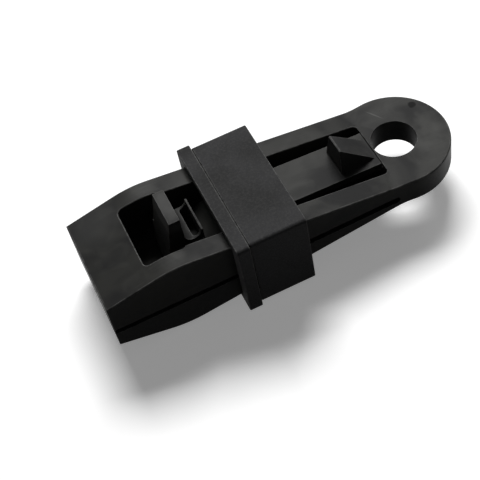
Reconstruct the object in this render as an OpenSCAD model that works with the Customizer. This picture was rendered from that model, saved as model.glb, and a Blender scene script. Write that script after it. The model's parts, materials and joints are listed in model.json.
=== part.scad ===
// Tarp clip: two jaws on springy arms that grow out of an eyelet ring, a spring
// tongue between them, and a sleeve that slides along the arms and wedges them shut.
// Origin at the centre of the eyelet bore, +Z along the bore, jaws towards -X.

/* [Eyelet] */
// How far the ring bulges out past the arms, on each side
eye_bulge = 0.3; // [0:0.05:0.8]
// Distance from the bore axis back to the centre of the ring's outside
eye_shift = 0.4; // [0:0.1:1]
// Thickness of the ring
eye_t = 7; // [6:0.25:9]
// Bore of the eyelet
bore_d = 11.2; // [8:0.2:12]
// Rounding of the ring's outer edges
rim_r = 0.8; // [0.3:0.1:1.2]
// Wall between the bore and the slots, at its thinnest
root_wall = 0.4; // [0.4:0.05:2]
// Length of the stubs that carry the living hinges
stub_len = 2; // [1.5:0.25:4]

/* [Arms] */
// Width over both rails
arm_w = 27.6; // [26.4:0.2:27.8]
// Angle at which the outside of each arm climbs away from the ring
arm_angle = 7.78; // [6:0.1:9]
// Clear width between the rails
slot_w = 17; // [15:0.25:18]
// Clear width of the jaw window
window_w = 18.2; // [17.6:0.2:19.6]
// Length of the wider window, from its front edge back towards the sleeve
window_len = 10.6; // [8:0.2:11.4]
// Rounding of the corners of the slots and of the window
corner_r = 1.3; // [0.8:0.1:2]
// Gap between the arms where they leave the ring
root_gap = 1.8; // [1.2:0.1:2]
// Depth below the middle plane at which the upper arm ends, at the ring
root_face = 0.1; // [0:0.05:0.4]
// Split at each living hinge
hinge_gap = 0.25; // [0.2:0.05:0.5]

/* [Jaws] */
// Distance from the tongue's foot to the front edge of the window
window_gap = 5.9; // [5:0.1:8]
// Distance from the front edge of the window back to the bend
bend_back = 5.2; // [3:0.2:7]
// Radius of the bend
bend_r = 24; // [8:1:30]
// Length of the solid nose ahead of the window
nose_len = 12; // [10:0.5:16]
// Angle at which the outside of each jaw falls towards its tip
nose_angle = 13.1; // [8:0.5:16]
// Depth below the middle plane of the upper gripping face
jaw_face = 1.1; // [0.8:0.1:1.4]
// Gap between the gripping faces, taken up by the tarp
jaw_gap = 1.4; // [1.3:0.1:2]
// Distance between teeth
tooth_pitch = 2.2; // [1.6:0.1:3]
// Depth of the grooves between teeth
tooth_depth = 1; // [0.5:0.1:1.4]
// Width of the flat crest of a tooth
tooth_crest = 0.4; // [0.2:0.1:0.8]
// Smooth border outside the teeth
tooth_border = 1.8; // [1:0.2:4]

/* [Lower jaw] */
// Thickness of the floor between the lower rails
floor_t = 2.2; // [1.6:0.1:2.6]
// Height of the cross ribs under the floor
rib_h = 1.1; // [0.6:0.1:1.4]
// Thickness of a cross rib
rib_t = 1.5; // [1:0.1:2.5]
// Number of cross ribs
rib_count = 3; // [1:1:5]

/* [Tongue] */
// Width of the tongue at its root
tongue_root_w = 11.1; // [8:0.1:11.8]
// Width of the tongue along its free length
tongue_w = 11.8; // [11.8:0.1:13]
// Thickness of the tongue
tongue_t = 2.1; // [1.6:0.1:2.6]
// Step from the ring up to the tongue's top
tongue_step = 0.4; // [0.1:0.05:0.6]
// Angle at which the tongue climbs
tongue_angle = 2.8; // [1:0.1:4]
// Split between the tongue and the ring
tongue_gap = 0.15; // [0.1:0.05:0.3]
// Length of the wedge that stops the sleeve at the back
wedge_len = 9.1; // [6:0.1:10]
// Distance from the tongue's root to the wedge's low end
wedge_gap = 0.35; // [0.2:0.05:1]
// Width of the wedge across its ridge
wedge_ridge_w = 5.7; // [4:0.1:6.4]
// Width of the wedge across its low end
wedge_foot_w = 6.6; // [5:0.1:8]
// Width of the wedge's base below the ridge
wedge_base_w = 8.6; // [6.4:0.2:10.5]
// How far the wedge's steep face leans out at its base
wedge_lean = 0.7; // [0:0.1:1.5]
// How far the wedge stands up behind the sleeve's inner top
wedge_catch = 1.4; // [0.8:0.1:2]
// Flat along the wedge's ridge
wedge_flat = 0.4; // [0.2:0.1:0.8]
// Thickness of the ridge that closes the trough
ridge_t = 0.5; // [0.4:0.1:1]
// Distance from the sleeve's front to that ridge
ridge_gap = 3.3; // [2.4:0.1:4]
// Clearance of the sleeve over that ridge
ridge_clear = 0.65; // [0.3:0.05:1.5]
// Length of that ridge across the tongue
ridge_w = 10.2; // [8:0.1:11.6]
// Radius of the trough behind the post
trough_r = 2.05; // [1.8:0.05:2.6]
// Thickness of the post at its top
post_t = 2.8; // [2:0.1:4]
// Width of the post
post_w = 10.1; // [7:0.1:11.5]
// How far the post stands up above the flange
post_rise = 3.5; // [2:0.1:5]
// How far the post's front leans out at its foot
post_lean = 2.7; // [1.5:0.1:4]
// Length of the foot that presses on the tarp
foot_len = 3.2; // [2:0.1:4.5]
// Height of the foot above the upper gripping face
foot_lift = 0.4; // [0.2:0.05:0.8]
// Distance over which the tongue thickens behind the foot
heel_len = 6; // [4:0.25:8]

/* [Sleeve] */
// Length of the sleeve behind its flange
sleeve_len = 14.5; // [12:0.25:18]
// Thickness of the sleeve's top and bottom walls
sleeve_wall = 1.7; // [1.4:0.1:2.5]
// Thickness of the sleeve's side walls
side_wall = 2.8; // [2:0.05:3.5]
// Clearance between the sleeve and the arms, above and below
lift_gap = 0.3; // [0.25:0.05:0.5]
// Clearance between the sleeve and the arms, at the sides
side_gap = 0.3; // [0.2:0.05:0.5]
// Distance from the sleeve back to the wedge, which is its travel
travel = 15.7; // [14:0.1:16.5]
// Rounding of the sleeve's long outer edges
sleeve_r = 0.9; // [0.4:0.1:1.4]
// Rounding of the sleeve's long inner edges
sleeve_in_r = 0.5; // [0.2:0.1:1]
// Length of the flange at the sleeve's front
flange_len = 3.3; // [2:0.1:5]
// How far the flange stands out at the sides
flange_side = 0.9; // [0.5:0.1:2]
// How far the flange stands out above and below
flange_top = 0.55; // [0.3:0.05:1.2]

/* [Hidden] */
$fn = 72;

// Overrun of every cut
cut = 1;
plastic = [0.17, 0.17, 0.17];
sleeve_plastic = [0.2, 0.2, 0.2];

// Outer diameter of the eyelet ring
eye_d = arm_w + 2 * eye_bulge;

// Distances from the bore axis towards the jaws
root_x = bore_d / 2 + root_wall;
gap_x = root_x + root_gap / 2;
hinge_x = root_x + stub_len;
wedge_x = root_x + wedge_gap + wedge_len;
sleeve_back_x = wedge_x + travel;
flange_back_x = sleeve_back_x + sleeve_len;
sleeve_front_x = flange_back_x + flange_len;
ridge_x = sleeve_front_x + ridge_gap;
trough_x = ridge_x + ridge_t + trough_r;
post_x = trough_x + trough_r;
foot_x = post_x + post_t + post_lean;
window_end_x = foot_x + window_gap;
window_start_x = window_end_x - window_len;
bend_x = window_end_x - bend_back;
nose_x = window_end_x + nose_len;

// Heights from the middle plane of the ring
function arm_top(x) = eye_t / 2 + (x - root_x) * tan(arm_angle);
bend_h = arm_top(bend_x);
nose_h = bend_h - (nose_x - bend_x) * tan(nose_angle);
// The bend as an arc: its centre lies below the corner, on the line that halves it
bend_steps = 8;
half_bend = (arm_angle + nose_angle) / 2;
bend_drop = bend_r / cos(half_bend);
bend_mid = [-bend_x - bend_drop * sin(arm_angle - half_bend), bend_h - bend_drop * cos(arm_angle - half_bend)];
bend_arc = [for (i = [0 : bend_steps]) let (turn = arm_angle - 2 * half_bend * i / bend_steps)
    bend_mid + bend_r * [sin(turn), cos(turn)]];
lower_root_face = root_face + root_gap;
lower_jaw_face = jaw_face + jaw_gap;
in_h = arm_top(sleeve_front_x) + lift_gap;
out_h = in_h + sleeve_wall;
flange_h = out_h + flange_top;
function tongue_top(x) = eye_t / 2 + tongue_step + (x - root_x) * tan(tongue_angle);
ridge_h = in_h - ridge_clear;
post_h = flange_h + post_rise;
wedge_h = in_h + wedge_catch;
seat_h = tongue_top(ridge_x);
foot_h = foot_lift - jaw_face;
function front_x(z) = post_x + post_t + (post_h - z) * post_lean / (post_h - foot_h);

// Half widths
in_w = arm_w / 2 + side_gap;
out_w = in_w + side_wall;
flange_w = out_w + flange_side;

// Teeth that fit on the nose
tooth_n = floor(nose_len / tooth_pitch);
tooth_x = window_end_x + (nose_len - tooth_n * tooth_pitch) / 2;

// An outline in X and Z, drawn out along Y
module along_y(w) {
    rotate([90, 0, 0]) linear_extrude(height = w, center = true) children();
}

// An outline in Y and Z, drawn out along X between two distances from the bore axis
module along_x(from_x, to_x) {
    translate([-to_x, 0, 0]) rotate([90, 0, 90]) linear_extrude(height = to_x - from_x) children();
}

// A rectangle with round corners, centred
module round_rect(l, w, r) {
    square([l - 2 * r, w], center = true);
    square([l, w - 2 * r], center = true);
    for (x = [-1, 1], y = [-1, 1])
        translate([x * (l / 2 - r), y * (w / 2 - r)]) circle(r = r);
}

// A slot in plan between two distances from the bore axis, with round corners
module slot_plan(from_x, to_x, w) {
    translate([-(from_x + to_x) / 2, 0]) round_rect(to_x - from_x, w, corner_r);
}

// The whole opening between the rails: the slots and the wider window
module opening_plan() {
    slot_plan(root_x, window_end_x - corner_r, slot_w);
    slot_plan(window_start_x, window_end_x, window_w);
}

// The side outline of one arm with its jaw, from one distance to the tip: its outside
// upwards, its inside level at two depths below the middle plane
module arm_outline(from_x, root_in, jaw_in) {
    polygon(concat(
        [[-from_x, arm_top(from_x)]], bend_arc, [[-nose_x, nose_h]],
        [[-nose_x, -jaw_in], [-sleeve_front_x, -jaw_in], [-from_x, -root_in]]
    ));
}

// Grooves between the teeth of one jaw, whose faces point up or down
module tooth_grooves(face_h, side) {
    half = (tooth_pitch - tooth_crest) / 2;
    along_y(arm_w - 2 * tooth_border)
        for (i = [0 : tooth_n - 1])
            translate([-(tooth_x + (i + 0.5) * tooth_pitch), face_h])
                polygon([[-half, 0], [0, side * tooth_depth], [half, 0], [half, -side * cut], [-half, -side * cut]]);
}

// The flat ring, with round edges and without its bore
module ring_disc() {
    rotate_extrude() {
        translate([0, -eye_t / 2]) square([eye_d / 2 - rim_r, eye_t]);
        translate([0, -(eye_t / 2 - rim_r)]) square([eye_d / 2, eye_t - 2 * rim_r]);
        for (z = [-1, 1])
            translate([eye_d / 2 - rim_r, z * (eye_t / 2 - rim_r)]) circle(r = rim_r);
    }
}

// The eyelet: the ring with its bore, and the stubs of both arms
module eyelet_ring() color(plastic) {
    difference() {
        union() {
            intersection() {
                translate([-eye_shift, 0, 0]) ring_disc();
                translate([-hinge_x, -eye_d, -eye_t]) cube([2 * eye_d, 2 * eye_d, 2 * eye_t]);
            }
            along_y(arm_w) polygon([
                [-eye_shift, eye_t / 2], [-root_x, eye_t / 2], [-hinge_x, arm_top(hinge_x)],
                [-hinge_x, -arm_top(hinge_x)], [-root_x, -eye_t / 2], [-eye_shift, -eye_t / 2]
            ]);
        }
        // Bore
        cylinder(d = bore_d, h = eye_t + 2 * cut, center = true);
        // Slots on both sides of the tongue, open towards the jaws
        translate([0, 0, -root_face - root_gap]) linear_extrude(height = eye_t + cut)
            slot_plan(root_x, hinge_x + 2 * corner_r + cut, slot_w);
        // Gap between the two arms, with its round end
        along_y(arm_w + 2 * cut) {
            translate([-gap_x, -root_face - root_gap / 2]) circle(d = root_gap);
            translate([-hinge_x - cut, -root_face - root_gap]) square([hinge_x + cut - gap_x, root_gap]);
        }
    }
}

// The upper arm, its window and the upper jaw
module upper_jaw() color(plastic) {
    difference() {
        along_y(arm_w) arm_outline(hinge_x + hinge_gap, root_face, jaw_face);
        translate([0, 0, -jaw_face - cut]) linear_extrude(height = bend_h + jaw_face + 2 * cut)
            opening_plan();
        tooth_grooves(-jaw_face, 1);
    }
}

// The lower arm, its floor with cross ribs, and the lower jaw
module lower_jaw() color(plastic) {
    pocket_h = bend_h - lower_jaw_face - floor_t;
    rib_pitch = (window_end_x - hinge_x) / (rib_count + 1);
    difference() {
        along_y(arm_w) mirror([0, 1])
            arm_outline(hinge_x + hinge_gap, -lower_root_face, -lower_jaw_face);
        difference() {
            translate([0, 0, -bend_h - cut]) linear_extrude(height = pocket_h + cut)
                opening_plan();
            for (i = [1 : rib_count])
                translate([-(hinge_x + i * rib_pitch), 0, -bend_h + pocket_h - rib_h / 2])
                    cube([rib_t, window_w + cut, rib_h + 2 * tooth_crest], center = true);
        }
        tooth_grooves(-lower_jaw_face, -1);
    }
}

// The wedge on the tongue, a stop that faces the jaws: a drafted block with a flat ridge
module wedge() {
    foot_z = tongue_top(wedge_x - wedge_len);
    hull() {
        translate([-wedge_x, 0, wedge_h - wedge_flat / 2])
            cube([wedge_flat, wedge_ridge_w, wedge_flat], center = true);
        translate([0, 0, foot_z - tongue_t / 2]) linear_extrude(height = tongue_t / 2) polygon([
            [-wedge_x - wedge_lean, -wedge_base_w / 2], [-wedge_x + wedge_len, -wedge_foot_w / 2],
            [-wedge_x + wedge_len, wedge_foot_w / 2], [-wedge_x - wedge_lean, wedge_base_w / 2]
        ]);
    }
}

// The strip of the tongue: its side outline, from its root to its foot
module tongue_strip() {
    start_x = root_x + tongue_gap;
    heel_x = foot_x - foot_len;
    intersection() {
        along_y(tongue_w) polygon([
            [-start_x, tongue_top(start_x)], [-ridge_x, seat_h], [-front_x(seat_h), seat_h],
            [-foot_x, foot_h], [-heel_x, foot_h],
            [-heel_x + heel_len, tongue_top(heel_x - heel_len) - tongue_t],
            [-start_x, tongue_top(start_x) - tongue_t]
        ]);
        translate([0, 0, -cut + foot_h]) linear_extrude(height = ridge_h - foot_h + 2 * cut) polygon([
            [-start_x, -tongue_root_w / 2], [-sleeve_back_x, -tongue_w / 2], [-foot_x, -tongue_w / 2],
            [-foot_x, tongue_w / 2], [-sleeve_back_x, tongue_w / 2], [-start_x, tongue_root_w / 2]
        ]);
    }
}

// The spring tongue with its wedge, its trough and its post
module spring_tongue() color(plastic) {
    sunk_h = seat_h - tongue_t / 2;
    tongue_strip();
    wedge();
    difference() {
        along_y(ridge_w) polygon([
            [-ridge_x, sunk_h], [-ridge_x, ridge_h], [-post_x, ridge_h], [-post_x, sunk_h]
        ]);
        translate([-trough_x, 0, ridge_h]) rotate([90, 0, 0])
            cylinder(r = trough_r, h = ridge_w + 2 * cut, center = true);
    }
    along_y(post_w) polygon([
        [-post_x, sunk_h], [-post_x, post_h], [-front_x(post_h), post_h], [-front_x(sunk_h), sunk_h]
    ]);
}

// The sleeve with its flange, which slides along both arms
module lock_sleeve() color(sleeve_plastic) {
    difference() {
        union() {
            along_x(sleeve_back_x, flange_back_x + flange_len / 2) round_rect(2 * out_w, 2 * out_h, sleeve_r);
            along_x(flange_back_x, sleeve_front_x) round_rect(2 * flange_w, 2 * flange_h, sleeve_r);
        }
        along_x(sleeve_back_x - cut, sleeve_front_x + cut) round_rect(2 * in_w, 2 * in_h, sleeve_in_r);
    }
}

eyelet_ring();
upper_jaw();
lower_jaw();
spring_tongue();
lock_sleeve();
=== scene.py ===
"""A tarp clip: two toothed jaws on springy arms, a spring tongue between them and a locking sleeve."""
import json
import math
import bmesh
import bpy
from bpy.props import FloatProperty, FloatVectorProperty, IntProperty, PointerProperty
from mathutils import Matrix, Vector


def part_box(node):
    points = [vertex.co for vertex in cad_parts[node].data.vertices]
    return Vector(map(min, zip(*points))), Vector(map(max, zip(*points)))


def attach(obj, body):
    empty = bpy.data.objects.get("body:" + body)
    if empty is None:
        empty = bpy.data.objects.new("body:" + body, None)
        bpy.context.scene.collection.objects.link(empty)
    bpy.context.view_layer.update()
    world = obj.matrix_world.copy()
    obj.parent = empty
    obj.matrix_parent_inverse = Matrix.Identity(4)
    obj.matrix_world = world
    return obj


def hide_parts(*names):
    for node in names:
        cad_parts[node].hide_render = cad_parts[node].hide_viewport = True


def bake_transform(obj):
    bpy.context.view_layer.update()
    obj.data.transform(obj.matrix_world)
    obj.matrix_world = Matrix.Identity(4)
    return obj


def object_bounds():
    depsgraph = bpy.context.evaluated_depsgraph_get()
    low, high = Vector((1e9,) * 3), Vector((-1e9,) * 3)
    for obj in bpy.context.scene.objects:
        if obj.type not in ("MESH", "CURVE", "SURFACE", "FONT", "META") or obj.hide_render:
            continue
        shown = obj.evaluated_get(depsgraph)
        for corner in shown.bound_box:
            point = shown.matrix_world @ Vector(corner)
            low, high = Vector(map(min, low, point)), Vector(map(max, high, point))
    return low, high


bl_info = {
    "name": "Tarp clip",
    "version": (1, 0, 0),
    "blender": (4, 5, 0),
    "location": "View3D > Sidebar > Tarp clip",
    "description": "Builds a moulded tarp clip, its plastics and its studio",
    "category": "Add Mesh",
}

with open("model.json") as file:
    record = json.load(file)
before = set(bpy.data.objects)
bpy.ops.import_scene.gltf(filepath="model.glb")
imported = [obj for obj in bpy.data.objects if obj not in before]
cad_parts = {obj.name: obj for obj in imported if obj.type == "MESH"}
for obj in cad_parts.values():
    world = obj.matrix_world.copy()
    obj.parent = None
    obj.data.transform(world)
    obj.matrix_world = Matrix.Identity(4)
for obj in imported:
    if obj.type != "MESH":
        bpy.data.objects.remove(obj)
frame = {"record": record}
CAD_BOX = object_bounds()
MM = 0.001
ROUNDED = "rounded"

# Boxes of the frame's nodes, which the sizes below come from
RING_LOW, RING_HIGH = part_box("eyelet_ring")
UPPER_LOW, UPPER_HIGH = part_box("upper_jaw")
LOWER_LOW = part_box("lower_jaw")[0]
TONGUE_LOW, TONGUE_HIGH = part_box("spring_tongue")
SLEEVE_LOW, SLEEVE_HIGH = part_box("lock_sleeve")
BORE = next(m for m in frame["record"]["mounts"] if m["name"] == "eyelet")["dims"]
RING_TOP = BORE["length_mm"] / 2 * MM

# Distances
SAME = MM * 1e-3  # between points that count as being in one place
CLOSE = MM * 1e-2  # from a face to points that count as being on it
MERGED = MM * 2e-3  # between points that are merged after a cut
ON_PLANE = MM * 1e-5  # from a cutting plane to points that count as being on it
OVER = MM  # from the end of a cutter to what it cuts through

# Angles between two faces
FLAT = math.radians(0.4)  # most in a face that counts as flat
SHARP = math.radians(28)  # least at an edge that is rounded
CREASE = math.radians(38)  # least at an edge that looks sharp

# Straight stretches in an arc, by what it rounds
CIRCLE_STEPS = 48
TROUGH_STEPS = 20
GAP_STEPS = 12
BEND_STEPS = 10
CORNER_STEPS = 8
SMALL_STEPS = 6
NECK_STEPS = 4

# Faces across a rounded edge
WIDE_ROUND = 4
PLAIN_ROUND = 3
FINE_ROUND = 2


def length(title, default, text, low=0.0):
    """A length property in metres."""
    return FloatProperty(name=title, description=text, default=default, min=low, unit="LENGTH", precision=5)


def station(title, default, text):
    """A property for a place along the clip, which lies at X below 0."""
    return length(title, default, text, low=-1.0)


def angle(title, degrees, text):
    """An angle property, written in degrees."""
    return FloatProperty(name=title, description=text, default=math.radians(degrees), subtype="ANGLE")


def share(title, default, text):
    """A property from 0 to 1."""
    return FloatProperty(name=title, description=text, default=default, min=0.0, max=1.0, subtype="FACTOR")


def power(title, default, text):
    """A property for the strength of a light."""
    return FloatProperty(name=title, description=text, default=default, min=0.0)


def colour(title, default, text):
    """A linear colour property."""
    return FloatVectorProperty(
        name=title, description=text, default=default, size=3, min=0.0, max=1.0, subtype="COLOR"
    )


def place(title, default, text):
    """A place in metres."""
    return FloatVectorProperty(
        name=title, description=text, default=default, size=3, subtype="TRANSLATION", unit="LENGTH"
    )


class RingSizes(bpy.types.PropertyGroup):
    """Sizes of the eyelet ring and of the stubs that carry the arms."""

    radius: length("Radius", RING_HIGH.y, "Outer radius of the ring")
    shift: length("Shift", RING_HIGH.y - RING_HIGH.x, "How far the ring's centre lies behind the bore")
    height: length("Half thickness", RING_TOP, "Half of the ring's thickness")
    bore: length("Bore radius", BORE["r_mm"] * MM, "Radius of the eyelet bore")
    wall: length("Bore wall", 0.4 * MM, "Wall between the bore and the slot")
    neck: length("Neck fillet", 20 * MM, "Radius that eases the ring into the arms")
    gap: length("Gap", 1.8 * MM, "Gap between the arms where they leave the ring")
    gap_top: length("Gap depth", 0.1 * MM, "How far below the middle plane the gap starts")
    rim: length("Rim radius", 0.4 * MM, "Rounding of the outer edges of ring and arms")
    bore_rim: length("Bore edge", 0.14 * MM, "Rounding of the bore's edges")


class ArmSizes(bpy.types.PropertyGroup):
    """Sizes of both arms and jaws."""

    slot: length("Slot half width", 8.5 * MM, "Half of the clear width between the rails")
    window: length("Window half width", 9.1 * MM, "Half of the clear width of the window")
    window_back: station("Window back", -57.65 * MM, "Place of the window's back edge")
    window_front: station("Window front", -68.25 * MM, "Place of the window's front edge")
    corner: length("Corner radius", 1.3 * MM, "Rounding of the slot's and window's corners")
    climb: angle("Climb", 7.78, "Angle at which the outside climbs away from the ring")
    fall: angle("Fall", 13.1, "Angle at which the outside of the jaw falls to its tip")
    bend: station("Bend place", -63.05 * MM, "Where the climb and the fall would meet")
    bend_radius: length("Bend radius", 24 * MM, "Radius of the bend")
    slot_edge: length("Slot edge", 0.3 * MM, "Rounding of the slot's outer edges")
    small_edge: length("Small edge", 0.12 * MM, "Rounding of the hidden edges")
    outside: length("Outside", 2.6 * MM, "Distance from the middle plane at which the outside starts")
    flex: length("Flex length", 2.2 * MM, "Length of the living hinge")
    flex_rows: IntProperty(
        name="Flex rows", description="Rows of points that let the hinge bend", default=5, min=1, max=20
    )
    lower_face: length("Lower face", 2.5 * MM, "How far below the middle plane the lower jaw grips")
    floor: length("Floor", 2.2 * MM, "Thickness of the lower arm's floor")
    rib: length("Rib height", 1.1 * MM, "Height of a cross rib")
    rib_wall: length("Rib thickness", 1.5 * MM, "Thickness of a cross rib")
    ribs: IntProperty(name="Ribs", description="Number of cross ribs", default=3, min=0, max=8)


class ToothSizes(bpy.types.PropertyGroup):
    """Sizes of the teeth inside the jaws."""

    pitch: length("Pitch", 2.2 * MM, "Distance between teeth")
    depth: length("Depth", 1.0 * MM, "Depth of the grooves")
    crest: length("Crest", 0.4 * MM, "Width of a tooth's flat crest")
    border: length("Border", 1.8 * MM, "Smooth border beside the teeth")
    draft: length("Draft", 0.25 * MM, "Slant of a groove's end walls")


class TongueSizes(bpy.types.PropertyGroup):
    """Sizes of the spring tongue, its wedge, trough, post and foot."""

    root: length("Root half width", 5.55 * MM, "Half width at the root")
    half: length("Half width", TONGUE_HIGH.y, "Half width of the free length")
    thick: length("Thickness", 2.1 * MM, "Thickness of the strip")
    step: length("Step", 0.4 * MM, "Step from the ring up to the tongue")
    climb: angle("Climb", 2.8, "Angle at which the tongue climbs")
    flex: length("Flex length", 1.0 * MM, "Length over which the root bends")
    groove: length("Groove", 0.34 * MM, "Width of the groove at the root")
    groove_depth: length("Groove depth", 1.6 * MM, "Depth of the groove at the root")
    wedge_low: station("Wedge low end", -6.9 * MM, "Place of the wedge's low end")
    wedge_ridge: station("Wedge ridge", -15.25 * MM, "Place of the ridge's back edge")
    wedge_face: station("Wedge face", -16.15 * MM, "Place of the steep face's foot")
    wedge_flat: length("Ridge flat", 0.4 * MM, "Width of the flat on the ridge")
    wedge_height: length("Wedge height", 11.07 * MM, "Height of the ridge")
    ridge_half: length("Ridge half width", 2.85 * MM, "Half width across the ridge")
    low_half: length("Low half width", 3.3 * MM, "Half width across the low end")
    base_half: length("Base half width", 4.3 * MM, "Half width across the foot of the steep face")
    dip_start: station("Dip start", -46.5 * MM, "Place under the sleeve where the tongue starts to dip")
    dip: length("Dip", 3.2 * MM, "How far the tongue dips behind the thin ridge")
    trough: station("Trough place", -54.8 * MM, "Place of the trough's axis")
    trough_radius: length("Trough radius", 2.05 * MM, "Radius of the trough")
    trough_height: length("Trough height", 9.02 * MM, "Height of the thin ridge behind the trough")
    ridge_wall: length("Thin ridge", 0.5 * MM, "Thickness of the thin ridge")
    ledge: length("Ledge", 2.0 * MM, "Width of the ledge that the trough leaves beside the post")
    pocket_low: length("Pocket floor", 2.2 * MM, "Height of the floor of the pocket in the trough")
    pocket_rim: length("Pocket rim", 0.6 * MM, "Width of the rim at both ends of the pocket")
    pocket_corner: length("Pocket corner", 0.8 * MM, "Rounding of the pocket's corners")
    post_half: length("Post half width", 5.1 * MM, "Half width of the post")
    post: length("Post thickness", 2.8 * MM, "Thickness of the post at its top")
    foot: length("Foot", 3.2 * MM, "Length of the foot")
    edge: length("Edge", 0.16 * MM, "Rounding of the edges")


class SleeveSizes(bpy.types.PropertyGroup):
    """Sizes of the locking sleeve and its flange."""

    flange_back: station("Flange back", -45.65 * MM, "Place of the flange's back face")
    flange_side: length("Flange side", 0.9 * MM, "How far the flange stands out at the sides")
    flange_top: length("Flange top", 0.55 * MM, "How far the flange stands out above and below")
    side_wall: length("Side wall", 2.8 * MM, "Thickness of the side walls")
    wall: length("Wall", 1.7 * MM, "Thickness of the top and bottom walls")
    outer: length("Outer radius", 0.9 * MM, "Rounding of the long outer edges")
    inner: length("Inner radius", 0.5 * MM, "Rounding of the long inner edges")
    edge: length("End edge", 0.24 * MM, "Rounding of the edges at both ends")
    groove: length("Flange groove", 0.22 * MM, "Width and depth of the fine groove behind the flange")


class PlasticLook(bpy.types.PropertyGroup):
    """Colours and gloss of the two plastics."""

    body: colour("Body", (0.018, 0.018, 0.018), "Colour of the body's plastic")
    cloud: colour("Flow clouds", (0.030, 0.030, 0.028), "Colour of the lighter flow clouds in the body")
    # Patch colour: real pale patches, and also the painted sheen on the ring
    patch_and_sheen: colour("Patches", (0.045, 0.045, 0.042), "Colour of the small pale patches in the body and of the painted sheen on the ring")
    sleeve: colour("Sleeve", (0.029, 0.029, 0.030), "Colour of the sleeve's plastic")
    # Rubbed colour: real wear, and also the painted edge highlights and painted highlights on the nose and
    # post
    rubbed_and_highlight: colour("Rubbed", (0.13, 0.13, 0.127), "Colour where the plastic is rubbed, and of painted highlights")
    gloss: share("Gloss", 0.03, "Specular level of the body's plastic")
    sleeve_gloss: share("Sleeve gloss", 0.05, "Specular level of the sleeve's plastic")


class StageLook(bpy.types.PropertyGroup):
    """The camera, the lamps and the floor."""

    camera: place("Camera", (-84.4 * MM, -169.7 * MM, 224.3 * MM), "Place of the camera")
    turn: angle("Azimuth", -13.66, "Camera's turn round the vertical")
    height: angle("Elevation", 53.07, "Camera's angle above the horizon")
    roll: angle("Roll", -13.62, "Camera's turn round its own axis")
    lens: FloatProperty(name="Lens", description="Focal length in millimetres", default=89.1, min=10)
    near: length("Near limit", 0.01, "Distance from which the camera sees")
    key: power("Key", 17.0, "Power of the large lamp above and behind")
    key_width: length("Key width", 0.65, "Width of the large lamp")
    key_size: length("Key size", 0.45, "Height of the large lamp")
    key_place: place("Key place", (0.24, 0.74, 0.90), "Place of the large lamp, from the clip's middle")
    side: power("Side lamp", 0.8, "Power of the low lamp beyond the ring")
    side_size: length("Side lamp size", 0.45, "Width and height of the low lamp")
    side_place: place("Side place", (0.85, 0.70, 0.50), "Place of the low lamp, from the clip's middle")
    fill: power("Fill", 0.03, "Strength of the surroundings")
    floor_reach: length("Floor reach", 1.5, "Half width of the floor")
    floor: colour("Floor", (1.0, 1.0, 1.0), "Colour of the floor")
    bounce: colour("Bounce", (0.05, 0.05, 0.05), "Colour of the light that the floor throws back")
    glow: power("Floor glow", 0.25, "Light that lifts the floor to white")


def arc(centre, radius, start, end, steps):
    """Points along an arc from one angle to another, in degrees."""
    turns = [math.radians(start + (end - start) * i / steps) for i in range(steps + 1)]
    return [(centre[0] + radius * math.cos(t), centre[1] + radius * math.sin(t)) for t in turns]


def draw_out(bm, way):
    """Draws the mesh's faces out along a vector, to a solid."""
    drawn = bmesh.ops.extrude_face_region(bm, geom=bm.faces[:])
    moved = [v for v in drawn["geom"] if isinstance(v, bmesh.types.BMVert)]
    bmesh.ops.translate(bm, verts=moved, vec=way)
    bmesh.ops.recalc_face_normals(bm, faces=bm.faces)


def plan_solid(half_outline, low, high):
    """An upright solid whose plan is symmetric about the X axis, from the half outline at y >= 0."""
    bm = bmesh.new()
    for side in (1, -1):
        bm.faces.new([bm.verts.new((x, side * y, low)) for x, y in half_outline])
    bmesh.ops.remove_doubles(bm, verts=bm.verts, dist=SAME)
    bmesh.ops.recalc_face_normals(bm, faces=bm.faces)
    draw_out(bm, (0, 0, high - low))
    return bm


def side_solid(outline, half_width):
    """A solid whose side outline, in X and Z, is drawn out along Y to both sides."""
    bm = bmesh.new()
    bm.faces.new([bm.verts.new((x, -half_width, z)) for x, z in outline])
    draw_out(bm, (0, 2 * half_width, 0))
    return bm


def round_bar(back, front, half_y, half_z, radius):
    """A bar along X between two places, with a rounded rectangle as its section."""
    points = []
    for turn, (sy, sz) in enumerate(((1, 1), (-1, 1), (-1, -1), (1, -1))):
        centre = (sy * (half_y - radius), sz * (half_z - radius))
        points += arc(centre, radius, 90 * turn, 90 * (turn + 1), CORNER_STEPS)
    bm = bmesh.new()
    bm.faces.new([bm.verts.new((back, y, z)) for y, z in points])
    draw_out(bm, (front - back, 0, 0))
    return bm


def cut_plane(bm, point, normal, **settings):
    """Cuts edges into the mesh along a plane."""
    return bmesh.ops.bisect_plane(
        bm, geom=bm.verts[:] + bm.edges[:] + bm.faces[:], dist=ON_PLANE,
        plane_co=point, plane_no=normal, **settings,
    )


def slice_across(bm, stations, axis=0):
    """Cuts edges into the mesh at several places along an axis."""
    normal = Vector((0, 0, 0))
    normal[axis] = 1
    for at in stations:
        cut_plane(bm, normal * at, normal)


def trim(bm, x, outwards):
    """Takes off what lies past a place on the X axis and closes the end.

    outwards is 1 to take off what lies at higher X, and -1 for lower X.
    """
    made = cut_plane(bm, (x, 0, 0), (outwards, 0, 0), clear_outer=True)
    rim = [e for e in made["geom_cut"] if isinstance(e, bmesh.types.BMEdge)]
    if rim:
        bmesh.ops.holes_fill(bm, edges=rim, sides=0)


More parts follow.
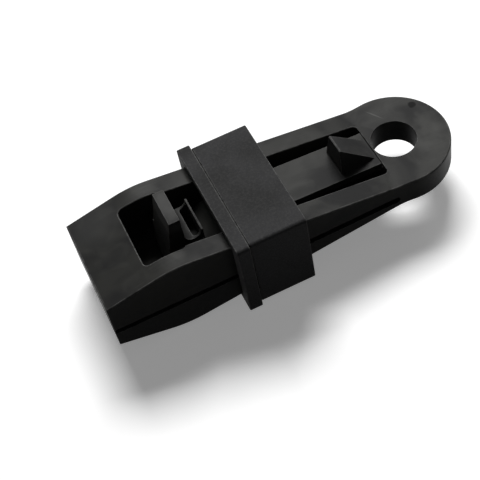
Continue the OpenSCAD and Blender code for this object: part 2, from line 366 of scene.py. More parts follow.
def clean(bm):
    """Merges doubled points and dissolves edges in flat faces, but for a cut in the middle plane.

    The cut keeps a flat face that has a hole in two simple halves.
    """
    bmesh.ops.remove_doubles(bm, verts=bm.verts, dist=MERGED)
    slice_across(bm, (0,), axis=1)
    aside = [e for e in bm.edges if any(abs(v.co.y) > SAME for v in e.verts)]
    bmesh.ops.dissolve_limit(
        bm, angle_limit=FLAT, use_dissolve_boundaries=False, verts=bm.verts, edges=aside
    )
    bm.normal_update()


def combine(bm, other, operation):
    """Cuts the other solid out of the mesh or joins it on, and returns the result."""
    meshes = []
    for part in (bm, other):
        mesh = bpy.data.meshes.new("Work")
        part.to_mesh(mesh)
        part.free()
        meshes.append(mesh)
    base, tool = (bpy.data.objects.new("Work", mesh) for mesh in meshes)
    for obj in (base, tool):
        bpy.context.scene.collection.objects.link(obj)
    modifier = base.modifiers.new("Combine", "BOOLEAN")
    modifier.operation = operation
    modifier.solver = "EXACT"
    modifier.object = tool
    bpy.context.view_layer.update()
    depsgraph = bpy.context.evaluated_depsgraph_get()
    result = bmesh.new()
    result.from_mesh(base.evaluated_get(depsgraph).to_mesh())
    for obj, mesh in zip((base, tool), meshes):
        bpy.data.objects.remove(obj)
        bpy.data.meshes.remove(mesh)
    clean(result)
    return result


def soften(bm, radius, wanted, segments):
    """Rounds the sharp edges that the test picks, and marks the faces that this makes."""
    bm.normal_update()
    edges = [e for e in bm.edges if len(e.link_faces) == 2 and e.calc_face_angle(0) > SHARP and wanted(e)]
    rounded = bm.faces.layers.float.get(ROUNDED) or bm.faces.layers.float.new(ROUNDED)
    made = bmesh.ops.bevel(
        bm, geom=edges, offset=radius, offset_type="OFFSET", affect="EDGES", segments=segments,
        profile=0.5, material=-1, clamp_overlap=False, miter_outer="SHARP", loop_slide=True,
    )
    for face in made["faces"]:
        face[rounded] = 1.0
    bm.normal_update()


def middle(edge):
    """Middle of an edge."""
    return (edge.verts[0].co + edge.verts[1].co) / 2


def at_stub_end(edge):
    """True for an edge in the plane where the ring's stubs meet the arms."""
    return all(abs(v.co.x - RING_LOW.x) < SAME for v in edge.verts)


def finish_piece(name, bm, node, slot):
    """Makes the mesh a piece with smooth shading that stands for a node of the frame."""
    bmesh.ops.remove_doubles(bm, verts=bm.verts, dist=SAME)
    mesh = bpy.data.meshes.new(name)
    bm.to_mesh(mesh)
    bm.free()
    mesh.shade_smooth()
    mesh.set_sharp_from_angle(angle=CREASE)
    mesh.materials.append(plastic(slot))
    obj = bpy.data.objects.new(name, mesh)
    bpy.context.scene.collection.objects.link(obj)
    obj.modifiers.new("Flat faces", "WEIGHTED_NORMAL").keep_sharp = True
    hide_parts(node)
    return obj


def root_place(ring):
    """Where the tongue and the slot start, on the X axis."""
    return -(ring.bore + ring.wall)


def arm_height(x, ring, arm):
    """Height of an arm's outside on its climbing stretch."""
    return ring.height + (root_place(ring) - x) * math.tan(arm.climb)


def bend_arc(ring, arm):
    """Points of the round bend, from the climb to the fall."""
    half = (arm.climb + arm.fall) / 2
    drop = arm.bend_radius / math.cos(half)
    corner = (arm.bend, arm_height(arm.bend, ring, arm))
    lean = arm.climb - half
    centre = (corner[0] - drop * math.sin(lean), corner[1] - drop * math.cos(lean))
    start, end = 90 - math.degrees(arm.climb), 90 + math.degrees(arm.fall)
    return arc(centre, arm.bend_radius, start, end, BEND_STEPS)


def arm_outline(ring, arm, root_face, jaw_face):
    """Side outline of an arm with its jaw, from the ring's stubs to the tip.

    root_face and jaw_face say how far below the middle plane its inside lies.
    """
    start, tip = RING_LOW.x, UPPER_LOW.x
    nose_height = arm_height(arm.bend, ring, arm) - (arm.bend - tip) * math.tan(arm.fall)
    return [
        (start, arm_height(start, ring, arm)), *bend_arc(ring, arm), (tip, nose_height),
        (tip, -jaw_face), (SLEEVE_LOW.x, -jaw_face), (start, -root_face),
    ]


def opening_half(arm):
    """Half of the plan of the slot between the rails and the wider window, from the bore's axis."""
    r = arm.corner
    rise = arm.slot - (arm.window - r)
    meet = math.degrees(math.asin(rise / r))
    return [
        (0, 0), (0, arm.slot),
        *arc((arm.window_back - r, arm.window - r), r, meet, 90, SMALL_STEPS),
        *arc((arm.window_front + r, arm.window - r), r, 90, 180, CORNER_STEPS),
        (arm.window_front, 0),
    ]


def add_teeth(bm, arm, teeth, face_height, direction):
    """Folds the grooves between the teeth into a jaw's gripping face."""
    room = arm.window_front - UPPER_LOW.x
    count = int(room / teeth.pitch)
    first = arm.window_front - (room - count * teeth.pitch) / 2
    half_groove = (teeth.pitch - teeth.crest) / 2
    valleys = [first - (i + 0.5) * teeth.pitch for i in range(count)]
    edge_y = UPPER_HIGH.y - teeth.border
    for valley in valleys:
        slice_across(bm, (valley - half_groove, valley, valley + half_groove))
    for side in (1, -1):
        slice_across(bm, (side * edge_y, side * (edge_y - teeth.draft)), axis=1)
    for v in bm.verts:
        inside = abs(v.co.y) < edge_y - teeth.draft / 2 and abs(v.co.z - face_height) < SAME
        if inside and any(abs(v.co.x - valley) < SAME for valley in valleys):
            v.co.z += direction * teeth.depth
    bm.normal_update()


def dress_arm(bm, scene, face_height, direction):
    """Rounds an arm's edges and adds its teeth and the rows of points of its living hinge.

    The outer rim is rounded most, then the slot, then the hidden edges. direction is 1 for
    the upper arm and -1 for the lower one.
    """
    ring, arm = scene.clip_ring, scene.clip_arm

    def outside(e):
        return all(v.co.z * direction > arm.outside for v in e.verts)

    def rim(e):
        m = middle(e)
        return outside(e) and (abs(m.y) > UPPER_HIGH.y - CLOSE or m.x < UPPER_LOW.x + CLOSE)

    def slot(e):
        return outside(e) and abs(middle(e).y) < arm.window + CLOSE

    def hidden(e):
        return not outside(e)

    for radius, wanted, segments in (
        (ring.rim, rim, WIDE_ROUND), (arm.slot_edge, slot, PLAIN_ROUND),
        (arm.small_edge, hidden, FINE_ROUND),
    ):
        soften(bm, radius, lambda e: wanted(e) and not at_stub_end(e), segments)
    add_teeth(bm, arm, scene.clip_teeth, face_height, direction)
    slice_across(bm, [RING_LOW.x - arm.flex * (i + 1) / arm.flex_rows for i in range(arm.flex_rows)])


class CLIP_OT_ring(bpy.types.Operator):
    """Add the eyelet ring with the stubs of both arms"""

    bl_idname = "tarp_clip.add_ring"
    bl_label = "Eyelet ring"

    def execute(self, context):
        ring, arm = context.scene.clip_ring, context.scene.clip_arm
        wide, end, root = UPPER_HIGH.y, RING_LOW.x, root_place(ring)

        # The ring with its neck and stubs, which grow thicker towards the arms
        reach = ring.radius + ring.neck
        ease_x = -ring.shift - math.sqrt(reach**2 - (wide + ring.neck) ** 2)
        lean = math.degrees(math.atan2(wide + ring.neck, ease_x + ring.shift))
        half = [
            *arc((0, 0), ring.bore, 180, 0, CIRCLE_STEPS),
            *arc((-ring.shift, 0), ring.radius, 0, lean, CIRCLE_STEPS),
            *arc((ease_x, wide + ring.neck), ring.neck, lean + 180, 270, NECK_STEPS)[1:],
            (end, wide), (end, 0),
        ]
        bm = plan_solid(half, -ring.height, ring.height)
        slice_across(bm, (root,))
        for v in bm.verts:
            if v.co.x < root - SAME:
                v.co.z = math.copysign(arm_height(v.co.x, ring, arm), v.co.z)

        # The end of the slot and the round end of the gap between the arms
        r = arm.corner
        past = end - r
        notch = [
            (root, 0), *arc((root - r, arm.slot - r), r, 0, 90, CORNER_STEPS), (past, arm.slot), (past, 0)
        ]
        gap_floor = -ring.gap_top - ring.gap
        bm = combine(bm, plan_solid(notch, gap_floor, 2 * ring.height), "DIFFERENCE")
        gap_round = ring.gap / 2
        gap_outline = [
            *arc((root - gap_round, -ring.gap_top - gap_round), gap_round, -90, 90, GAP_STEPS),
            (past, -ring.gap_top), (past, gap_floor),
        ]
        bm = combine(bm, side_solid(gap_outline, wide + r), "DIFFERENCE")

        def on_face(e):
            return all(abs(v.co.z) > ring.height - CLOSE for v in e.verts)

        def in_bore(e):
            return all(math.hypot(v.co.x, v.co.y) < ring.bore + CLOSE for v in e.verts)

        def outer(e):
            beside_slot = abs(middle(e).y) > arm.slot + CLOSE and not at_stub_end(e)
            return beside_slot or middle(e).x > 0 and not in_bore(e)

        def slot(e):
            m = middle(e)
            return m.x < root + CLOSE and abs(m.y) < arm.slot + CLOSE and not at_stub_end(e)

        for radius, wanted, segments in (
            (ring.rim, outer, WIDE_ROUND), (arm.slot_edge, slot, PLAIN_ROUND),
            (ring.bore_rim, in_bore, FINE_ROUND),
        ):
            soften(bm, radius, lambda e: on_face(e) and wanted(e), segments)
        obj = finish_piece("Eyelet_ring", bm, "eyelet_ring", "body_plastic")
        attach(obj, "eyelet")
        return {"FINISHED"}


class CLIP_OT_upper_jaw(bpy.types.Operator):
    """Add the upper arm with its window and its toothed jaw"""

    bl_idname = "tarp_clip.add_upper_jaw"
    bl_label = "Upper jaw"

    def execute(self, context):
        scene = context.scene
        ring, arm = scene.clip_ring, scene.clip_arm
        bm = side_solid(arm_outline(ring, arm, ring.gap_top, -UPPER_LOW.z), UPPER_HIGH.y)
        reach = 2 * UPPER_HIGH.z
        bm = combine(bm, plan_solid(opening_half(arm), -reach, reach), "DIFFERENCE")
        dress_arm(bm, scene, UPPER_LOW.z, 1)
        obj = finish_piece("Upper_jaw", bm, "upper_jaw", "body_plastic")
        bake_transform(obj)
        return {"FINISHED"}


class CLIP_OT_lower_jaw(bpy.types.Operator):
    """Add the lower arm with its floor, cross ribs and toothed jaw"""

    bl_idname = "tarp_clip.add_lower_jaw"
    bl_label = "Lower jaw"

    def execute(self, context):
        scene = context.scene
        ring, arm = scene.clip_ring, scene.clip_arm
        outline = arm_outline(ring, arm, -(ring.gap_top + ring.gap), -arm.lower_face)
        bm = side_solid([(x, -z) for x, z in outline], UPPER_HIGH.y)

        # A shallow cut down to the ribs, then a deeper pocket up to the floor on each side of a rib
        ceiling = -(arm.lower_face + arm.floor)
        deep = 2 * LOWER_LOW.z
        bm = combine(bm, plan_solid(opening_half(arm), deep, ceiling - arm.rib), "DIFFERENCE")
        pitch = (arm.window_front - RING_LOW.x) / (arm.ribs + 1)
        ribs = [RING_LOW.x + pitch * (i + 1) for i in range(arm.ribs)]
        half_rib = arm.rib_wall / 2
        ends = [0, *ribs, arm.window_front - OVER]
        for back, front in zip(ends[:-1], ends[1:]):
            block = plan_solid(opening_half(arm), deep, ceiling)
            trim(block, back - (half_rib if back else 0), 1)
            trim(block, front + half_rib, -1)
            bmesh.ops.recalc_face_normals(block, faces=block.faces)
            bm = combine(bm, block, "DIFFERENCE")

        dress_arm(bm, scene, -arm.lower_face, -1)
        obj = finish_piece("Lower_jaw", bm, "lower_jaw", "body_plastic")
        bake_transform(obj)
        return {"FINISHED"}


class CLIP_OT_tongue(bpy.types.Operator):
    """Add the spring tongue with its wedge, trough, post and foot"""

    bl_idname = "tarp_clip.add_tongue"
    bl_label = "Spring tongue"

    def execute(self, context):
        ring, size = context.scene.clip_ring, context.scene.clip_tongue
        root = root_place(ring)

        def top(x):
            return ring.height + size.step + (root - x) * math.tan(size.climb)

        post_back = size.trough - size.trough_radius
        post_front = post_back - size.post
        foot_x, foot_z, post_z = TONGUE_LOW.x, TONGUE_LOW.z, TONGUE_HIGH.z

        def front(z):
            return post_front + (post_z - z) * (foot_x - post_front) / (post_z - foot_z)

        # The strip with its foot, which grows wider from the root to the sleeve
        start = root - size.groove
        thin = size.thick / 2
        trough_back = size.trough + size.trough_radius
        seat_x = trough_back + size.ridge_wall
        seat = top(seat_x)
        dip = seat - size.dip
        strip = [
            (root, top(start) - size.groove_depth), (start, top(start) - size.groove_depth),
            (start, top(start)), (size.dip_start, top(size.dip_start)), (seat_x, dip),
            (seat_x - size.ridge_wall, seat), (front(seat), seat), (foot_x, foot_z),
            (foot_x + size.foot, foot_z), (seat_x, dip - thin),
            (size.dip_start, top(size.dip_start) - size.thick), (root, top(root) - size.thick),
        ]
        bm = side_solid(strip, size.half)
        slice_across(bm, (SLEEVE_HIGH.x,))
        for v in bm.verts:
            along = min(1.0, (root - v.co.x) / (root - SLEEVE_HIGH.x))
            v.co.y *= (size.root + (size.half - size.root) * along) / size.half

        # The thin ridge, the trough and the post
        sunk = seat - thin
        stop = [
            (seat_x, dip - thin / 2), (seat_x, size.trough_height),
            *arc((size.trough, size.trough_height), size.trough_radius, 0, -180, TROUGH_STEPS),
            (post_back, post_z), (post_front, post_z), (front(seat), seat), (front(sunk) + thin / 2, sunk),
        ]
        bm = combine(bm, side_solid(stop, size.post_half), "UNION")

        # The pocket in the trough
        r = size.pocket_corner
        pocket_front = post_back + size.ledge
        pocket_half = size.post_half - size.pocket_rim
        pocket = [
            (trough_back, 0), *arc((trough_back - r, pocket_half - r), r, 0, 90, SMALL_STEPS),
            *arc((pocket_front + r, pocket_half - r), r, 90, 180, SMALL_STEPS), (pocket_front, 0),
        ]
        bm = combine(bm, plan_solid(pocket, size.pocket_low, size.trough_height), "DIFFERENCE")

        # The wedge, with its base sunk into the strip
        wedge = bmesh.new()
        low_z = top(size.wedge_low)
        for side in (1, -1):
            for z in (low_z, low_z - thin):
                for x, y in ((size.wedge_low, size.low_half), (size.wedge_face, size.base_half)):
                    wedge.verts.new((x, side * y, z))
            for x in (size.wedge_ridge, size.wedge_ridge - size.wedge_flat):
                wedge.verts.new((x, side * size.ridge_half, size.wedge_height))
        hull = bmesh.ops.convex_hull(wedge, input=wedge.verts)
        bmesh.ops.delete(wedge, geom=hull["geom_interior"], context="VERTS")
        bmesh.ops.recalc_face_normals(wedge, faces=wedge.faces)
        bm = combine(bm, wedge, "UNION")

        soften(bm, size.edge, lambda e: e.is_convex and middle(e).x < start - CLOSE, FINE_ROUND)
        obj = finish_piece("Spring_tongue", bm, "spring_tongue", "body_plastic")
        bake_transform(obj)
        return {"FINISHED"}


class CLIP_OT_sleeve(bpy.types.Operator):
    """Add the sliding sleeve with its flange"""

    bl_idname = "tarp_clip.add_sleeve"
    bl_label = "Locking sleeve"

    def execute(self, context):
        size = context.scene.clip_sleeve
        back, front = SLEEVE_HIGH.x, SLEEVE_LOW.x
        wide, tall = SLEEVE_HIGH.y, SLEEVE_HIGH.z
        body_y, body_z = wide - size.flange_side, tall - size.flange_top

        # The sleeve's body, a narrower neck that leaves the fine groove, and the flange
        groove = size.groove
        bm = round_bar(back, size.flange_back + groove, body_y, body_z, size.outer)
        neck_back, neck_front = size.flange_back + 2 * groove, (size.flange_back + front) / 2
        neck = round_bar(neck_back, neck_front, body_y - groove, body_z - groove, size.outer)
        bm = combine(bm, neck, "UNION")
        bm = combine(bm, round_bar(size.flange_back, front, wide, tall, size.outer), "UNION")
        hollow = round_bar(
            back + OVER, front - OVER, body_y - size.side_wall, body_z - size.wall, size.inner
        )
        bm = combine(bm, hollow, "DIFFERENCE")
        soften(bm, size.edge, lambda e: abs(e.verts[0].co.x - e.verts[1].co.x) < SAME, PLAIN_ROUND)
        obj = finish_piece("Lock_sleeve", bm, "lock_sleeve", "sleeve_plastic")
        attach(obj, "sleeve")
        return {"FINISHED"}


def add_node(tree, kind, inputs=None, **settings):
    """Adds a node, sets it up and fills its inputs with values or links."""
    node = tree.nodes.new(kind)
    for name, value in settings.items():
        setattr(node, name, value)
    for name, value in (inputs or {}).items():
        if isinstance(value, bpy.types.NodeSocket):
            tree.links.new(value, node.inputs[name])
        else:
            node.inputs[name].default_value = value
    return node


def piece_place(tree):
    """Coordinates that stay with the piece."""
    return add_node(tree, "ShaderNodeTexCoord").outputs["Object"]


def noise(tree, point, output="Fac", **inputs):
    """Noise at a point."""
    return add_node(tree, "ShaderNodeTexNoise", {"Vector": point, **inputs}).outputs[output]


def ramp(tree, value, inputs, shape="LINEAR"):
    """Maps a value between two ranges, each from 0 to 1 where the inputs don't say otherwise."""
    node = add_node(tree, "ShaderNodeMapRange", {"Value": value, **inputs}, interpolation_type=shape)
    return node.outputs["Result"]


def maths(tree, operation, *values):
    """The result of a maths node."""
    return add_node(tree, "ShaderNodeMath", dict(enumerate(values)), operation=operation).outputs[0]


def vector_maths(tree, operation, inputs, output="Vector"):
    """The result of a vector maths node."""
    return add_node(tree, "ShaderNodeVectorMath", inputs, operation=operation).outputs[output]


def new_group(title, inputs, output):
    """An empty shader group: its tree, the sockets it is given and the one that it puts out."""
    tree = bpy.data.node_groups.new(title, "ShaderNodeTree")
    for name, value in inputs.items():
        kind = "NodeSocketVector" if isinstance(value, tuple) else "NodeSocketFloat"
        socket = tree.interface.new_socket(name=name, in_out="INPUT", socket_type=kind)
        socket.default_value = value
    tree.interface.new_socket(name=output, in_out="OUTPUT", socket_type="NodeSocketFloat")
    given = tree.nodes.new("NodeGroupInput").outputs
    return tree, given, tree.nodes.new("NodeGroupOutput").inputs[output]


def cloud_group(title):
    """Soft clouds that the flowing plastic leaves on a moulded face."""
    tree, given, out = new_group(
        title, {"Scale": 90.0, "Swirl": 1.2, "Low": 0.42, "High": 0.66, "Amount": 1.0}, "Mask"
    )
    clouds = noise(
        tree, piece_place(tree), Scale=given["Scale"], Distortion=given["Swirl"], Detail=2.0, Roughness=0.45
    )
    limits = {"From Min": given["Low"], "From Max": given["High"], "To Max": given["Amount"]}
    tree.links.new(ramp(tree, clouds, limits, "SMOOTHSTEP"), out)
    return tree


def grain_group(title):
    """Fine grain of a moulded or spark-eroded face."""
    tree, given, out = new_group(title, {"Scale": 3000.0, "Rough": 0.6}, "Height")
    grain = noise(tree, piece_place(tree), Scale=given["Scale"], Roughness=given["Rough"], Detail=3.0)
    tree.links.new(grain, out)
    return tree


def slide_group(title):
    """Fine lines along the clip, where the sleeve has rubbed to and fro."""
    tree, given, out = new_group(title, {"Fineness": 2600.0, "Amount": 0.3}, "Mask")
    point = piece_place(tree)
    stretch = add_node(tree, "ShaderNodeMapping", {"Vector": point, "Scale": (0.035, 1.0, 0.2)})
    lines = noise(tree, stretch.outputs["Vector"], Scale=given["Fineness"], Detail=2.0)
    lines = ramp(tree, lines, {"From Min": 0.6, "From Max": 0.78})
    patches = ramp(tree, noise(tree, point, Scale=160.0, Detail=1.0), {"From Min": 0.45, "From Max": 0.7})
    both = maths(tree, "MULTIPLY", lines, patches)
    tree.links.new(maths(tree, "MULTIPLY", both, given["Amount"]), out)
    return tree


def rub_and_highlight_group(title):
    """Worn edges with a painted edge highlight: the faces that a rounding left, broken up by noise."""
    tree, given, out = new_group(title, {"Scale": 700.0, "Amount": 0.5}, "Mask")
    edge = add_node(tree, "ShaderNodeAttribute", attribute_name=ROUNDED).outputs["Fac"]
    patches = noise(tree, piece_place(tree), Scale=given["Scale"], Detail=3.0)
    patches = ramp(tree, patches, {"From Min": 0.25, "From Max": 0.6})
    both = maths(tree, "MULTIPLY", edge, patches)
    tree.links.new(maths(tree, "MULTIPLY", both, given["Amount"]), out)
    return tree


def oval_group(title):
    """A soft oval mark on a face: a gate mark, a weld line, a painted highlight or a painted sheen."""
    tree, given, out = new_group(title, {
        "Place": (0.0, 0.0, 0.0), "Turn": 0.0, "Size": (MM, MM, MM), "Core": 0.5, "Wobble": 0.5 * MM,
        "Fineness": 300.0, "Amount": 1.0,
    }, "Mask")
    point = piece_place(tree)
    ragged = noise(tree, point, "Color", Scale=given["Fineness"])
    ragged = vector_maths(tree, "SUBTRACT", {0: ragged, 1: (0.5, 0.5, 0.5)})
    ragged = vector_maths(tree, "SCALE", {"Vector": ragged, "Scale": given["Wobble"]})
    point = vector_maths(tree, "SUBTRACT", {0: point, 1: given["Place"]})
    point = vector_maths(tree, "ADD", {0: point, 1: ragged})
    point = add_node(
        tree, "ShaderNodeVectorRotate", {"Vector": point, "Angle": given["Turn"]}, rotation_type="Z_AXIS"
    ).outputs["Vector"]
    point = vector_maths(tree, "DIVIDE", {0: point, 1: given["Size"]})
    reach = vector_maths(tree, "LENGTH", {"Vector": point}, "Value")
    limits = {"From Min": 1.0, "From Max": given["Core"], "To Max": given["Amount"]}
    tree.links.new(ramp(tree, reach, limits, "SMOOTHSTEP"), out)
    return tree


EFFECTS = {
    "Flow clouds": cloud_group, "Mould grain": grain_group, "Slide marks": slide_group,
    "Rubbed and highlighted edges": rub_and_highlight_group, "Oval mark": oval_group,
}


def use_group(tree, title, **values):
    """Places a group in a tree with its own values, and returns what it puts out."""
    group = bpy.data.node_groups.get(title) or EFFECTS[title](title)
    return add_node(tree, "ShaderNodeGroup", values, node_tree=group).outputs[0]


def blend_colours(tree, mask, first, second):
    """Mixes two colours, or a colour and a socket, by a mask."""
    mix = tree.nodes.new("ShaderNodeMix")
    mix.data_type = "RGBA"
    tree.links.new(mask, mix.inputs["Factor"])
    for socket, value in ((mix.inputs["A"], first), (mix.inputs["B"], second)):
        if isinstance(value, bpy.types.NodeSocket):
            tree.links.new(value, socket)
        else:
            socket.default_value = (*value, 1)
    return mix.outputs["Result"]


def lay_colours(tree, base, layers):
    """Lays colours over a base, one after the other, each where its mask says."""
    for mask, tint in layers:
        base = blend_colours(tree, mask, base, tint)
    return base


def new_material(title):
    """A new node material, with its tree and its shader."""
    material = bpy.data.materials.new(title)
    material.use_nodes = True
    return material, material.node_tree, material.node_tree.nodes["Principled BSDF"]


def feed_shader(tree, shader, tint, rough, grain, strength, depth):
    """Gives a shader its colour, its roughness and the bump of its grain."""
    bump = add_node(tree, "ShaderNodeBump", {"Height": grain, "Strength": strength, "Distance": depth})
    for name, source in (("Base Color", tint), ("Roughness", rough), ("Normal", bump.outputs["Normal"])):
        tree.links.new(source, shader.inputs[name])


# Oval marks on the body's plastic: the colour that each tints towards, how it changes the
# roughness, and its form, for the painted sheen on the ring (a painted highlight over smoother
# plastic), the painted highlights on the nose's far corner and on the post's top, the gate mark and the
# weld line
OVALS = (
    # Painted sheen on the ring: a lighter colour stands in for a highlight, while the lower roughness is
    # real
    ("patch_and_sheen", -0.06, {
        "Place": (8.5 * MM, -2.5 * MM, RING_TOP), "Turn": 0.25, "Size": (6.5 * MM, 10 * MM, 2 * MM),
        "Core": 0.3, "Wobble": 7 * MM, "Fineness": 180.0, "Amount": 0.85,
    }),
    # Painted highlight on the nose's far corner
    ("rubbed_and_highlight", 0.0, {
        "Place": (-75 * MM, 10 * MM, 11 * MM), "Size": (11 * MM, 10 * MM, 8 * MM),
        "Core": 0.3, "Wobble": 4 * MM, "Fineness": 120.0, "Amount": 0.18,
    }),
    # Painted highlight on the post's top
    ("rubbed_and_highlight", 0.0, {
        "Place": (-58.3 * MM, 0.0, 13.5 * MM), "Size": (4 * MM, 8 * MM, 3 * MM),
        "Core": 0.6, "Wobble": MM, "Fineness": 250.0, "Amount": 0.34,
    }),
    ("body", 0.35, {
        "Place": (9.1 * MM, 7.3 * MM, RING_TOP), "Size": (1.2 * MM, 1.2 * MM, MM),
        "Core": 0.6, "Wobble": 0.5 * MM, "Fineness": 900.0, "Amount": 1.0,
    }),
    ("rubbed_and_highlight", 0.0, {
        "Place": (-0.4 * MM, 9.2 * MM, RING_TOP), "Turn": 1.0, "Size": (3.2 * MM, 0.26 * MM, MM),
        "Core": 0.2, "Wobble": 0.6 * MM, "Fineness": 250.0, "Amount": 0.4,
    }),
)


def body_plastic(title):
    """Satin black plastic of the moulded body, with its clouds, marks, painted sheen and highlights, and
    rubbed edges that carry a painted highlight.
    """
    look = bpy.context.scene.clip_look
    material, tree, shader = new_material(title)
    clouds = use_group(tree, "Flow clouds", Scale=75.0, Swirl=0.6, Low=0.4, High=0.62)
    mottle = use_group(tree, "Flow clouds", Scale=190.0, Swirl=0.8, Low=0.42, High=0.72, Amount=0.4)
    layers = [(clouds, look.cloud), (mottle, look.patch_and_sheen)]
    changes = [(mottle, -0.05)]
    for tint, change, form in OVALS:
        oval = use_group(tree, "Oval mark", **form)
        layers.append((oval, getattr(look, tint)))
        if change:
            changes.append((oval, change))
    layers.append((use_group(tree, "Slide marks", Amount=0.12), look.rubbed_and_highlight))
    # Rubbed edges: real wear along the rounded edges, with a painted highlight on them
    layers.append((use_group(tree, "Rubbed and highlighted edges", Amount=0.6), look.rubbed_and_highlight))
    rough = ramp(tree, clouds, {"To Min": 0.43, "To Max": 0.35})
    for mask, change in changes:
        rough = maths(tree, "MULTIPLY_ADD", mask, change, rough)
    grain = use_group(tree, "Mould grain", Scale=2200.0, Rough=0.65)
    tint = lay_colours(tree, look.body, layers)
    feed_shader(tree, shader, tint, rough, grain, strength=0.25, depth=0.02 * MM)
    shader.inputs["Specular IOR Level"].default_value = look.gloss
    return material


def sleeve_plastic(title):
    """Matte black plastic of the sleeve, with a spark-eroded grain."""
    look = bpy.context.scene.clip_look
    material, tree, shader = new_material(title)
    grain = use_group(tree, "Mould grain", Scale=1900.0, Rough=0.8)
    speckle = ramp(tree, grain, {"From Min": 0.45, "From Max": 0.72, "To Max": 0.22})
    tint = lay_colours(tree, look.sleeve, [
        (use_group(tree, "Flow clouds", Scale=60.0, Swirl=0.6), look.body),
        (speckle, look.rubbed_and_highlight),
        # Rubbed edges: real wear along the rounded edges, with a painted highlight on them
        (use_group(tree, "Rubbed and highlighted edges", Amount=0.6), look.rubbed_and_highlight),
    ])
    rough = ramp(tree, grain, {"To Min": 0.5, "To Max": 0.72})
    feed_shader(tree, shader, tint, rough, grain, strength=0.6, depth=0.05 * MM)
    shader.inputs["Specular IOR Level"].default_value = look.sleeve_gloss
    return material


PLASTICS = {
    "body_plastic": ("Body plastic", body_plastic), "sleeve_plastic": ("Sleeve plastic", sleeve_plastic),
}


def plastic(slot):
    """The material of a slot, made when it is first asked for."""
    title, make = PLASTICS[slot]
    return bpy.data.materials.get(title) or make(title)


def seen_directly(tree):
    """A mask for rays from the camera, from gloss and through glass."""
    path = add_node(tree, "ShaderNodeLightPath").outputs
    seen = maths(tree, "MAXIMUM", path["Is Camera Ray"], path["Is Glossy Ray"])
    return maths(tree, "MAXIMUM", seen, path["Is Transmission Ray"])


def floor_paint():
    """Pale floor that throws little light back on the object."""
    look = bpy.context.scene.clip_stage
    material, tree, shader = new_material("Floor paint")
    shader.inputs["Roughness"].default_value = 1.0
    shader.inputs["Specular IOR Level"].default_value = 0.0
    shader.inputs["Emission Color"].default_value = (1, 1, 1, 1)
    seen = seen_directly(tree)
    tree.links.new(blend_colours(tree, seen, look.bounce, look.floor), shader.inputs["Base Color"])
    tree.links.new(ramp(tree, seen, {"To Max": look.glow}), shader.inputs["Emission Strength"])
    return material


def surroundings():
    """A world that lights the object softly and looks white."""
    world = bpy.data.worlds.new("Studio")
    world.use_nodes = True
    tree = world.node_tree
    light = tree.nodes["Background"]
    light.inputs["Color"].default_value = (1, 1, 1, 1)
    strength = ramp(tree, seen_directly(tree), {"To Min": bpy.context.scene.clip_stage.fill})
    tree.links.new(strength, light.inputs["Strength"])
    return world


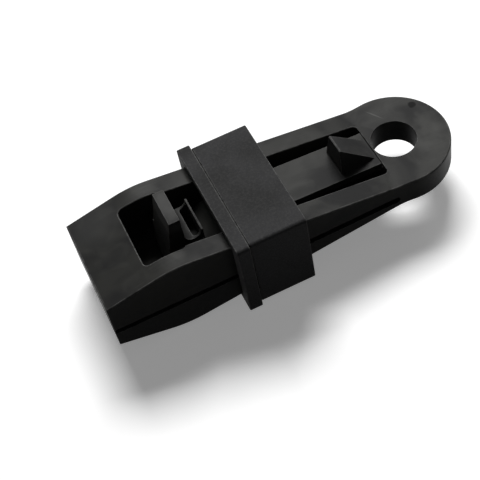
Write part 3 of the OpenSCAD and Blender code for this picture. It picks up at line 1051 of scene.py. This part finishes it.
class CLIP_OT_stage(bpy.types.Operator):
    """Add the floor, the lamps, the surroundings and the camera"""

    bl_idname = "tarp_clip.add_stage"
    bl_label = "Studio"

    def execute(self, context):
        scene, look = context.scene, context.scene.clip_stage
        bm = bmesh.new()
        bmesh.ops.create_grid(bm, x_segments=2, y_segments=2, size=look.floor_reach)
        bmesh.ops.translate(bm, verts=bm.verts, vec=(0, 0, CAD_BOX[0].z))
        mesh = bpy.data.meshes.new("Floor")
        bm.to_mesh(mesh)
        bm.free()
        mesh.materials.append(floor_paint())
        floor = bpy.data.objects.new("Floor", mesh)
        scene.collection.objects.link(floor)

        centre = (CAD_BOX[0] + CAD_BOX[1]) / 2
        for name, energy, size, spot in (
            ("Key", look.key, (look.key_width, look.key_size), look.key_place),
            ("Side", look.side, (look.side_size, look.side_size), look.side_place),
        ):
            lamp = bpy.data.lights.new(name, "AREA")
            lamp.energy = energy
            lamp.shape = "RECTANGLE"
            lamp.size, lamp.size_y = size
            softbox = bpy.data.objects.new(name, lamp)
            scene.collection.objects.link(softbox)
            softbox.location = centre + Vector(spot)
            softbox.rotation_euler = (-Vector(spot)).to_track_quat("-Z", "Y").to_euler()
        scene.world = surroundings()

        camera = bpy.data.objects.new("Camera", bpy.data.cameras.new("Camera"))
        scene.collection.objects.link(camera)
        turn = Matrix.Rotation(look.turn, 4, "Z")
        tilt = Matrix.Rotation(math.pi / 2 - look.height, 4, "X")
        roll = Matrix.Rotation(look.roll, 4, "Z")
        camera.matrix_world = Matrix.Translation(look.camera) @ turn @ tilt @ roll
        camera.data.lens = look.lens
        camera.data.clip_start = look.near
        scene.camera = camera
        scene.view_settings.view_transform = "Standard"
        return {"FINISHED"}


OPERATORS = (
    CLIP_OT_stage, CLIP_OT_ring, CLIP_OT_upper_jaw, CLIP_OT_lower_jaw, CLIP_OT_tongue, CLIP_OT_sleeve,
)


class CLIP_PT_panel(bpy.types.Panel):
    """Lists the pieces of the clip"""

    bl_idname = "CLIP_PT_panel"
    bl_label = "Tarp clip"
    bl_space_type = "VIEW_3D"
    bl_region_type = "UI"
    bl_category = "Tarp clip"

    def draw(self, context):
        for operator in OPERATORS:
            self.layout.operator(operator.bl_idname)


GROUPS = {
    "clip_ring": RingSizes, "clip_arm": ArmSizes, "clip_teeth": ToothSizes, "clip_tongue": TongueSizes,
    "clip_sleeve": SleeveSizes, "clip_look": PlasticLook, "clip_stage": StageLook,
}


def register():
    """Registers the classes and hangs the sizes on the scene."""
    for name, group in GROUPS.items():
        bpy.utils.register_class(group)
        setattr(bpy.types.Scene, name, PointerProperty(type=group))
    for cls in (*OPERATORS, CLIP_PT_panel):
        bpy.utils.register_class(cls)


def unregister():
    """Takes back what register did."""
    for cls in (CLIP_PT_panel, *reversed(OPERATORS)):
        bpy.utils.unregister_class(cls)
    for name, group in GROUPS.items():
        delattr(bpy.types.Scene, name)
        bpy.utils.unregister_class(group)


def main():
    """Builds the studio and every piece."""
    register()
    for operator in OPERATORS:
        group, call = operator.bl_idname.split(".")
        getattr(getattr(bpy.ops, group), call)()


if __name__ == "__main__":
    main()
